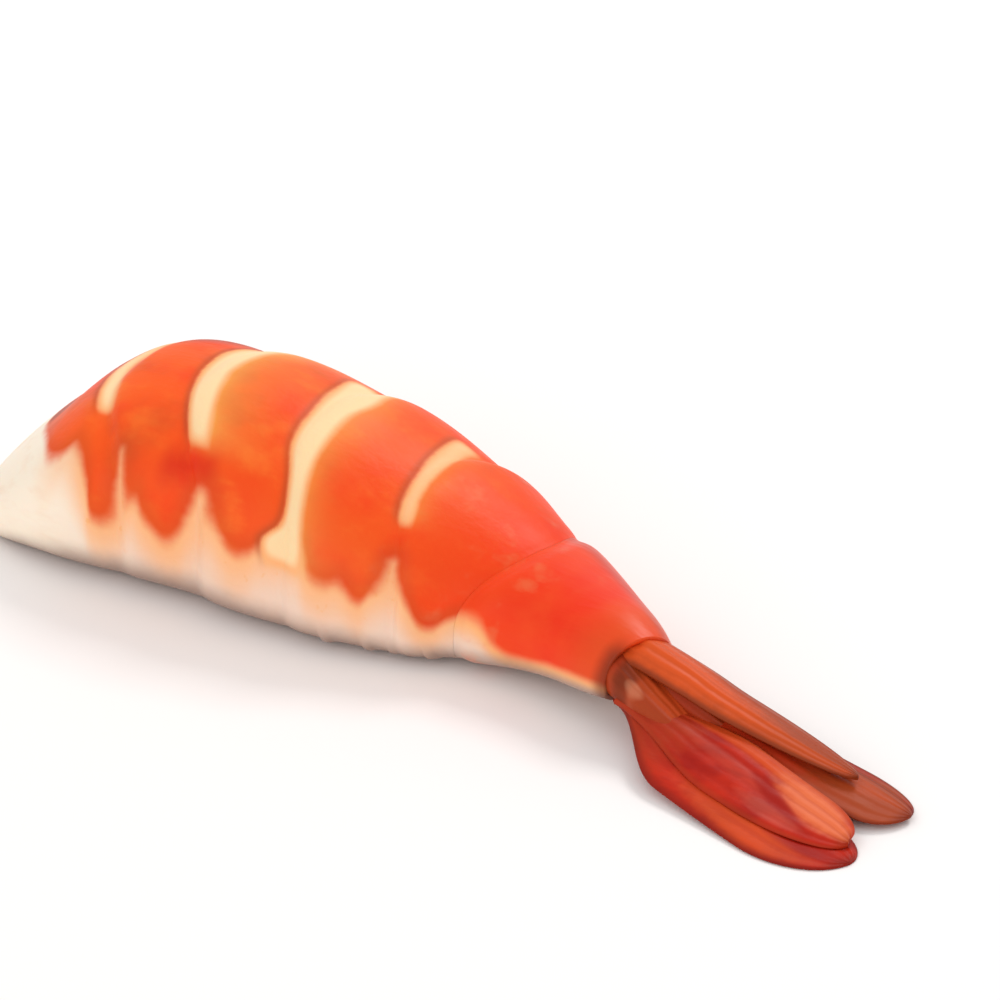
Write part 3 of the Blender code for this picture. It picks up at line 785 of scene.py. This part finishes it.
def make_fan_piece(name, spec, make_ring, count):
    """Blade or base piece of the tail fan, with its rings closer together at both ends."""
    rings, fields = [], {"out": [], "across": []}
    for k in range(count + 1):
        u = 0.5 - 0.5 * math.cos(math.pi * k / count)
        points, across = make_ring(spec, u)
        rings.append(points)
        fields["out"].append(np.full(len(across), u))
        fields["across"].append(across)
    return ring_mesh(name, rings, fields)


def linear(colour):
    """Screen colour as the linear values that a shader takes."""
    return tuple(c / 12.92 if c <= 0.04045 else ((c + 0.055) / 1.055) ** 2.4 for c in colour) + (1.0,)


class Graph:
    """Short ways to add nodes to a material."""

    def __init__(self, name):
        self.material = bpy.data.materials.new(name)
        self.material.use_nodes = True
        self.tree = self.material.node_tree
        self.shader = self.tree.nodes["Principled BSDF"]
        self.place = self.add("ShaderNodeTexCoord").outputs["Object"]

    def add(self, kind, **values):
        """Node of a kind, with its properties."""
        made = self.tree.nodes.new(kind)
        for key, value in values.items():
            setattr(made, key, value)
        return made

    def feed(self, socket, value):
        """Links an output, or sets a number or colour."""
        if isinstance(value, bpy.types.NodeSocket):
            self.tree.links.new(value, socket)
        else:
            socket.default_value = value

    def field(self, name):
        """Float attribute of the mesh."""
        return self.add("ShaderNodeAttribute", attribute_name=name).outputs["Fac"]

    def noise(self, name):
        """Noise of NOISES, from -1 to 1."""
        scale, detail, stretch, turn = NOISES[name]
        mapping = self.add("ShaderNodeMapping")
        mapping.inputs["Scale"].default_value = (stretch, 1.0, 1.0)
        mapping.inputs["Rotation"].default_value = (0.0, 0.0, turn)
        self.feed(mapping.inputs["Vector"], self.place)
        made = self.add("ShaderNodeTexNoise")
        self.feed(made.inputs["Vector"], mapping.outputs["Vector"])
        made.inputs["Scale"].default_value = scale
        made.inputs["Detail"].default_value = detail
        made.inputs["Roughness"].default_value = NOISE_ROUGHNESS
        return self.maths("MULTIPLY_ADD", made.outputs["Fac"], 2.0, -1.0)

    def maths(self, operation, a, b=0.0, c=0.0):
        """Result of a sum on numbers."""
        made = self.add("ShaderNodeMath", operation=operation)
        for socket, value in zip(made.inputs, (a, b, c)):
            self.feed(socket, value)
        return made.outputs["Value"]

    def total(self, name, *values):
        """Sum of the values by their weights in MIXES, with the last number there added."""
        *weights, result = MIXES[name]
        for value, weight in zip(values, weights):
            result = self.maths("MULTIPLY_ADD", value, weight, result)
        return result

    def share(self, value, name):
        """Weighted smooth step of STEPS."""
        low, high, weight = STEPS[name]
        made = self.add("ShaderNodeMapRange", interpolation_type="SMOOTHSTEP")
        self.feed(made.inputs["Value"], value)
        made.inputs["From Min"].default_value = low
        made.inputs["From Max"].default_value = high
        made.inputs["To Max"].default_value = weight
        return made.outputs["Result"]

    def blend(self, share, first, second):
        """Mix of two colours."""
        made = self.add("ShaderNodeMix", data_type="RGBA")
        self.feed(made.inputs["Factor"], share)
        for k, value in ((COLOUR_A, first), (COLOUR_B, second)):
            self.feed(made.inputs[k], value if isinstance(value, bpy.types.NodeSocket) else linear(value))
        return made.outputs[COLOUR_OUT]

    def tint(self, colour, new, value, name, within=None):
        """Colour with a new one over it by a step of STEPS, and by a second share where given."""
        share = self.share(value, name)
        if within is not None:
            share = self.maths("MULTIPLY", share, within)
        return self.blend(share, colour, new)

    def oval(self, along, across, place, sizes, slant=0.0):
        """Squared distance from an oval's middle, counted in the oval's half sizes."""
        run = self.maths("SUBTRACT", along, place[0])
        aside = self.maths("SUBTRACT", across, place[1])
        aside = self.maths("SUBTRACT", aside, self.maths("MULTIPLY", run, slant))
        run = self.maths("MULTIPLY", run, 1.0 / sizes[0])
        aside = self.maths("MULTIPLY", aside, 1.0 / sizes[1])
        return self.maths("ADD", self.maths("MULTIPLY", run, run), self.maths("MULTIPLY", aside, aside))

    def finish(self, kind, colour, roughness, height):
        """Feeds the shader, sets what is the same all over, and gives the material."""
        self.feed(self.shader.inputs["Base Color"], colour)
        self.feed(self.shader.inputs["Roughness"], roughness)
        for key, value in SHADERS[kind].items():
            self.shader.inputs[key].default_value = value
        distance, strength = BUMPS[kind]
        made = self.add("ShaderNodeBump")
        self.feed(made.inputs["Height"], height)
        made.inputs["Distance"].default_value = distance
        made.inputs["Strength"].default_value = strength
        self.feed(self.shader.inputs["Normal"], made.outputs["Normal"])
        return self.material


def flesh_material():
    """Moist cooked meat: orange skin with cream bands over pale flesh, with painted shade on the belly, in
    the grooves in front of the bands, along the far outline and at the lower edge.
    """
    graph = Graph("flesh")
    along = graph.field("along")
    edge = graph.field("red")
    inside = graph.field("band")
    mottle = graph.noise("mottle")
    fibre = graph.noise("flesh_fibre")
    wobble = graph.total("wobble", mottle, fibre)

    orange = graph.tint(ORANGE, ORANGE_RED, graph.noise("cloud"), "cloud")
    orange = graph.tint(orange, ORANGE_LIGHT, graph.total("light", mottle, fibre), "light")
    orange = graph.tint(orange, ORANGE_BROWN, graph.noise("shade"), "shade")
    orange = graph.tint(orange, BLUSH, graph.total("blush", graph.noise("blush"), fibre), "blush")
    orange = graph.tint(orange, SHELL_RED, along, "tailward")
    orange = graph.tint(orange, TAIL_ORANGE, graph.noise("freckle"), "freckle", graph.share(along, "rear"))
    orange = graph.tint(orange, ORANGE_BROWN, edge, "rim")
    orange = graph.tint(orange, DEEP_RED, graph.total("spot", graph.field("spot"), mottle), "spot")

    past_head = graph.share(along, "past_head")
    near_orange = graph.maths("MULTIPLY", graph.share(edge, "near_orange"), past_head)
    # Past the head end the pale flesh takes the belly tone of painted shade
    pale = graph.tint(FLESH, SHADED_BELLY, along, "belly")
    pale = graph.tint(pale, FLESH_SHADE, fibre, "fibre")
    pale = graph.tint(pale, PEACH, edge, "peach", past_head)
    pale = graph.tint(pale, GLOW, graph.noise("fleck"), "fleck", near_orange)
    red = graph.total("red", edge, wobble)
    colour = graph.tint(pale, orange, red, "skin")

    # Painted shade: a brown line in the groove in front of each band
    line = graph.maths("MULTIPLY", graph.field("line"), GROOVE_SHADE_WEIGHT)
    colour = graph.blend(line, colour, ORANGE_BROWN)
    glow = graph.maths("MULTIPLY", graph.field("glow"), graph.total("glow", mottle))
    colour = graph.blend(glow, colour, GLOW)
    band = graph.total("band", inside, wobble)
    cream = graph.tint(CREAM, PEACH, inside, "cream_edge")
    cream = graph.tint(cream, PEACH, along, "cream_rear")
    colour = graph.tint(colour, cream, band, "band")
    # Painted shade along the far side's upper outline, on bare orange skin away from the bands
    bare = graph.maths("MULTIPLY", graph.share(red, "outline_shade_skin"), graph.share(band, "off_band"))
    colour = graph.tint(colour, OUTLINE_SHADE_BROWN, graph.field("outline_shade"), "outline_shade", bare)
    # Painted contact shade: grey brown along the lower edge, by the floor
    low = graph.total("low", graph.maths("ABSOLUTE", graph.field("down")), mottle)
    colour = graph.tint(colour, CONTACT_SHADE, low, "flesh_contact_shade")
    height = graph.total("flesh_height", fibre, graph.noise("fine"))
    return graph.finish("flesh", colour, graph.total("flesh_roughness", fibre), height)


def shell_material():
    """Thin glossy shell of the last segment, with painted light toward its rear and painted shade along its
    far outline, lower edge and rear notch.
    """
    graph = Graph("last_shell")
    along = graph.field("along")
    near = graph.field("down")
    mottle = graph.noise("shell_mottle")
    fibre = graph.noise("shell_fibre")
    colour = graph.tint(SHELL_RED, SHELL_ORANGE, mottle, "shell_cloud")
    colour = graph.tint(colour, ORANGE_RED, along, "shell_front")
    # Lighter orange of painted light toward the rear rim
    colour = graph.tint(colour, TAIL_LIT, along, "shell_rear")
    # Painted shade line along the shell's far outline
    colour = graph.tint(colour, FAR_OUTLINE_SHADE, near, "far_shade_line", graph.share(near, "far_shade_line_end"))
    red = graph.total("shell_red", graph.field("red"), mottle)
    # Pale underside of the shell, turning to the belly tone of painted shade lower down
    pale = graph.tint(PEACH, SHADED_BELLY, red, "shell_belly")
    colour = graph.tint(colour, pale, red, "shell_pale")
    # Painted contact shade along the shell's lower edge
    low = graph.total("low", graph.maths("ABSOLUTE", near), mottle)
    colour = graph.tint(colour, CONTACT_SHADE, low, "shell_contact_shade")
    # Painted shade in the notch at the rear rim, on the near side
    rear = graph.total("notch_shade", along, mottle)
    colour = graph.tint(colour, SHADE_AND_RIM_BROWN, rear, "notch_shade", graph.share(near, "notch_shade_side"))
    off = graph.oval(along, near, PALE_SPOT["place"], PALE_SPOT["sizes"])
    off = graph.total("pale_spot", off, graph.noise("shell_grain"))
    colour = graph.tint(colour, TAIL_ORANGE, off, "pale_spot")
    fore = graph.share(along, "shell_fore")
    colour = graph.tint(colour, TAIL_ORANGE, graph.noise("freckle"), "shell_freckle", fore)
    return graph.finish("shell", colour, graph.total("shell_roughness", fibre), fibre)


def blade_material(name, look):
    """Ribbed shell of a tail blade, with oval marks, some of them painted light and shade, and a dark rim.
    """
    graph = Graph(name)
    out = graph.field("out")
    across = graph.field("across")
    mottle = graph.noise("blade_mottle")
    fibre = graph.noise("blade_fibre")
    grain = graph.noise("fleck")
    waver = graph.total("waver", mottle, fibre)
    ribs = graph.maths("SINE", graph.maths("MULTIPLY_ADD", across, RIB_WAVES, waver))
    colour = graph.tint(look["main"], look["deep"], graph.total("blade_cloud", mottle, fibre), "blade_cloud")
    for tint, place_out, place_across, size_out, size_across, slant, weight in look["marks"]:
        off = graph.oval(out, across, (place_out, place_across), (size_out, size_across), slant)
        mark = graph.share(graph.total("mark", off, mottle, grain), "mark")
        colour = graph.blend(graph.maths("MULTIPLY", mark, weight), colour, tint)
    edge = graph.share(graph.maths("ABSOLUTE", across), "blade_edge")
    rim = graph.maths("MAXIMUM", edge, graph.share(out, "blade_tip"))
    colour = graph.blend(graph.maths("MULTIPLY", rim, look["rim_weight"]), colour, look["rim"])
    colour = graph.tint(colour, look["deep"], ribs, "rib")
    height = graph.total("blade_height", ribs, fibre)
    return graph.finish("blade", colour, graph.total("blade_roughness", mottle), height)


def floor_material():
    """Plain white floor."""
    graph = Graph("floor")
    graph.shader.inputs["Base Color"].default_value = linear(FLOOR)
    for key, value in SHADERS["floor"].items():
        graph.shader.inputs[key].default_value = value
    return graph.material


def view_axes():
    """Unit vectors to the picture's right and towards the camera."""
    a, e = math.radians(AZIMUTH), math.radians(ELEVATION)
    right = Vector((math.cos(a), math.sin(a), 0.0))
    back = Vector((math.sin(a) * math.cos(e), -math.cos(a) * math.cos(e), math.sin(e)))
    return right, back


def add_camera():
    """Camera at the photograph's angle, far away with a long lens."""
    _, back = view_axes()
    data = bpy.data.cameras.new("camera")
    data.lens = LENS
    data.sensor_width = SENSOR
    data.clip_end = VIEW_DEPTH
    camera = bpy.data.objects.new("camera", data)
    bpy.context.scene.collection.objects.link(camera)
    distance = PICTURE_WIDTH * MM * LENS / SENSOR
    camera.location = Vector(VIEW_CENTRE) * MM + back * distance
    camera.rotation_euler = back.to_track_quat("Z", "Y").to_euler()
    bpy.context.scene.camera = camera


def add_light(name, place, spec):
    """Soft square light that looks at the object."""
    data = bpy.data.lights.new(name, "AREA")
    data.shape = "SQUARE"
    data.size = spec["size"]
    data.energy = spec["power"]
    data.color = spec["colour"]
    light = bpy.data.objects.new(name, data)
    light.location = place
    light.rotation_euler = place.to_track_quat("Z", "Y").to_euler()
    bpy.context.scene.collection.objects.link(light)


def add_stage():
    """Floor, world and lights."""
    mesh = bpy.data.meshes.new("floor")
    corners = [(x * FLOOR_HALF, y * FLOOR_HALF, 0.0) for x, y in ((-1, -1), (1, -1), (1, 1), (-1, 1))]
    mesh.from_pydata(corners, [], [(0, 1, 2, 3)])
    floor = bpy.data.objects.new("floor", mesh)
    bpy.context.scene.collection.objects.link(floor)
    mesh.materials.append(floor_material())
    world = bpy.data.worlds.new("studio")
    bpy.context.scene.world = world
    world.use_nodes = True
    background = world.node_tree.nodes["Background"]
    background.inputs["Color"].default_value = WHITE
    background.inputs["Strength"].default_value = WORLD_STRENGTH
    right, back = view_axes()
    flat = Vector((back.x, back.y, 0.0)).normalized()
    for name, spec in LIGHTS.items():
        sideways, forward, up = spec["place"]
        add_light(name, right * sideways + flat * forward + Vector((0.0, 0.0, up)), spec)
    bpy.context.scene.view_settings.view_transform = "Standard"


def main():
    """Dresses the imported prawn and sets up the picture."""
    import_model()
    pieces = [(make_skin(), flesh_material(), "meat", "meat"),
              (make_shell(), shell_material(), "tail_shell", "tail_segment")]
    for node, spec in BLADES.items():
        name = "spine" if node == "telson" else node.replace("uropod", "blade")
        piece = make_fan_piece(name, spec, blade_ring, BLADE_RINGS)
        pieces.append((piece, blade_material(name, LOOKS[node]), "tail_shell", node))
    for name, spec in BASES.items():
        piece = make_fan_piece(name, spec, base_ring, BASE_RINGS)
        pieces.append((piece, blade_material(name, LOOKS[name]), "tail_shell", None))
    for piece, material, slot, node in pieces:
        piece.data.materials.append(material)
        if node:
            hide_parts(node)
        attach(piece, "root")
    add_stage()
    add_camera()


main()
